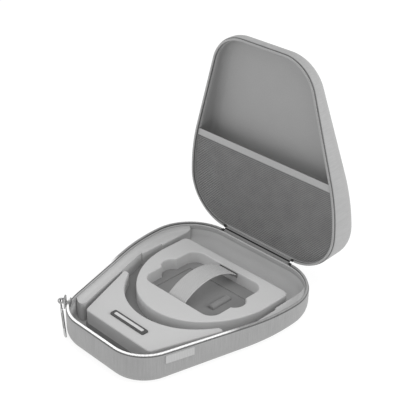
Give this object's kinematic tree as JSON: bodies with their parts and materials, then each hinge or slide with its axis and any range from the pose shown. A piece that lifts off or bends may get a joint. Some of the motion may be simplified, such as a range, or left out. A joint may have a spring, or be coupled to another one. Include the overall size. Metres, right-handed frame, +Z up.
{
  "type": "headphone carrying case",
  "caption": "Hinged, zipped hard-shell headphone case lying open, with a moulded tray, a strap over its cavity and a mesh pocket in the lid.",
  "frame": {"origin": "on the table, directly below the middle of the base's rim", "axes": "+X to the right seen from the narrow front, +Y back towards the hinge, +Z up from the table"},
  "size_m": [0.21, 0.281, 0.2673],
  "materials": {
    "outer_fabric": "matte, finely ribbed woven cloth over a moulded shell",
    "lining": "soft brushed cloth",
    "binding": "narrow woven hem",
    "zipper_tape": "woven tape",
    "zipper_teeth": "pale coil teeth",
    "zipper_stop": "small dark blocks",
    "hinge_tape": "dark folded tape",
    "label": "woven tag with a raised edge",
    "tray": "smooth moulded foam with a thin flocked skin",
    "elastic": "flat woven elastic",
    "anchor": "plain",
    "badge": "dark satin",
    "inlay": "plain light bar",
    "mesh": "fine knitted mesh",
    "pocket_band": "plain woven band",
    "metal": "polished"
  },
  "bodies": {
    "base": {"base_shell": "outer_fabric", "base_lining": "lining", "base_binding": "binding", "base_zipper_tape": "zipper_tape", "base_zipper_teeth": "zipper_teeth", "base_zip_stops": "zipper_stop", "base_hinge_tape": "hinge_tape", "side_label": "label", "tray_floor": "tray", "front_block": "tray", "rear_block": "tray", "left_ledge": "tray", "right_ledge": "tray", "cavity_liner": "tray", "elastic_strap": "elastic", "front_strap_anchor": "anchor", "rear_strap_anchor": "anchor", "badge_plate": "badge", "badge_inlay": "inlay"},
    "lid": {"lid_shell": "outer_fabric", "lid_lining": "lining", "lid_binding": "binding", "lid_zipper_tape": "zipper_tape", "lid_zipper_teeth": "zipper_teeth", "lid_zip_stops": "zipper_stop", "lid_hinge_tape": "hinge_tape", "mesh_pocket": "mesh", "pocket_binding": "pocket_band"},
    "slider": {"slider_body": "metal", "slider_bail": "metal"},
    "pull": {"pull_tab": "metal"}
  },
  "joints": [
    {"name": "lid_hinge", "type": "hinge", "parent": "base", "child": "lid", "pos_m": [0, 0.1185, 0.02974], "axis": [-1, 0, 0], "range_deg": [-87.5, 40]},
    {"name": "slider_travel", "type": "hinge", "parent": "base", "child": "slider", "pos_m": [-0.02822, -0.07595, 0.03443], "axis": [0, 0.0349, 0.9994], "range_deg": [-18, 40]},
    {"name": "pull_swing", "type": "hinge", "parent": "slider", "child": "pull", "pos_m": [-0.06441, -0.1084, 0.03897], "axis": [-0.6691, 0.7427, -0.0259], "range_deg": [-1, 110]}
  ]
}
